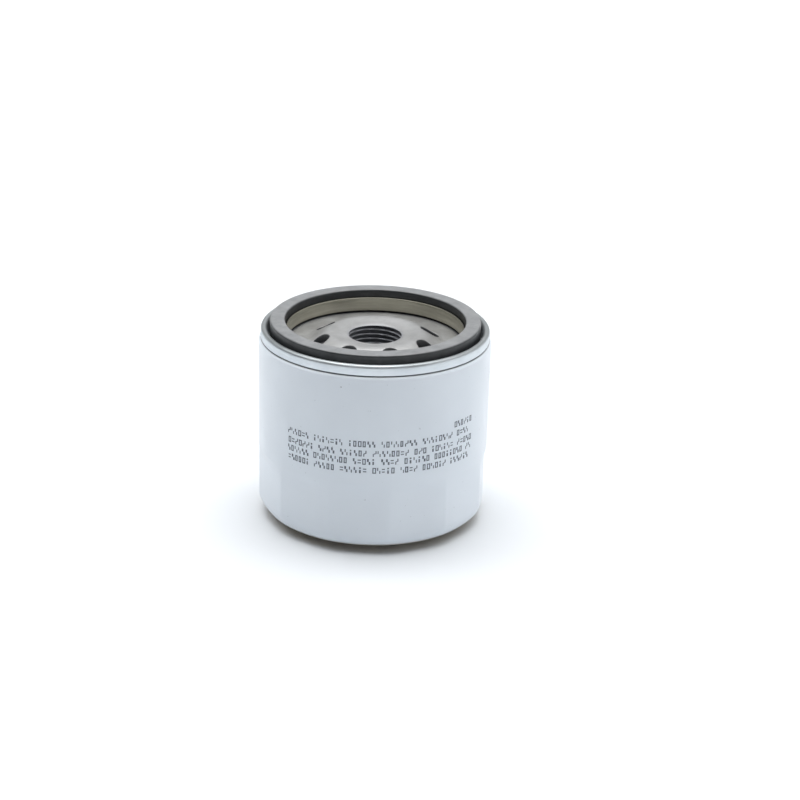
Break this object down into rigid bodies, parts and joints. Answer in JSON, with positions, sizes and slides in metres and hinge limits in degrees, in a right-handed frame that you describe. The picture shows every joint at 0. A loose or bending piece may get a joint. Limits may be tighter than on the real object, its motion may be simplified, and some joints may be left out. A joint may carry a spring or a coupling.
{
  "type": "oil filter",
  "caption": "Short spin-on oil filter for a small engine: a fluted steel can with a threaded base plate, a sealing gasket and a filter element inside with its valves and springs.",
  "frame": {"origin": "centre of the surface the filter stands on, under its closed end", "axes": "+Z along the filter's axis, from the closed end towards the threaded end; -Y is the front, the side with the printed marks"},
  "size_m": [0.0762, 0.0762, 0.0678],
  "materials": {
    "can_paint": "smooth satin paint, pale silver grey",
    "lid_steel": "tinned sheet steel",
    "plate_steel": "dull pressed steel plate",
    "pressed_steel": "thin pressed sheet steel",
    "spring_steel": "drawn spring wire",
    "gasket_rubber": "moulded black nitrile rubber, semi-matte",
    "valve_rubber": "moulded black nitrile rubber, matte",
    "seam_compound": "cured sealing compound, matte",
    "filter_paper": "resin-treated pleated filter paper",
    "adhesive": "cured plastisol adhesive"
  },
  "bodies": {
    "can": {"shell": "can_paint", "seaming_lid": "lid_steel", "seam_compound": "seam_compound", "gasket": "gasket_rubber", "base_plate": "plate_steel", "element_spring": "spring_steel"},
    "drainback_valve": {"anti_drainback_valve": "valve_rubber"},
    "element": {"element_top_cap": "pressed_steel", "element_bottom_cap": "pressed_steel", "top_adhesive": "adhesive", "bottom_adhesive": "adhesive", "center_tube": "pressed_steel", "pleated_media": "filter_paper", "media_clip": "pressed_steel", "spring_cup": "pressed_steel", "bypass_seat": "pressed_steel", "bypass_cage": "pressed_steel", "bypass_spring": "spring_steel"},
    "bypass": {"bypass_poppet": "pressed_steel", "bypass_seal": "valve_rubber"}
  },
  "joints": [
    {"name": "element_float", "type": "slide", "parent": "can", "child": "element", "axis": [0, 0, -1], "range_m": [0, 0.003], "stiffness_N_per_m": 3000, "springref_m": -0.005, "deforming": ["element_spring"]},
    {"name": "drainback_lift", "type": "slide", "parent": "can", "child": "drainback_valve", "axis": [0, 0, -1], "range_m": [0, 0.0012], "stiffness_N_per_m": 150, "springref_m": -0.002},
    {"name": "bypass_lift", "type": "slide", "parent": "element", "child": "bypass", "axis": [0, 0, 1], "range_m": [0, 0.003], "stiffness_N_per_m": 1500, "springref_m": -0.006, "deforming": ["bypass_spring"]}
  ]
}
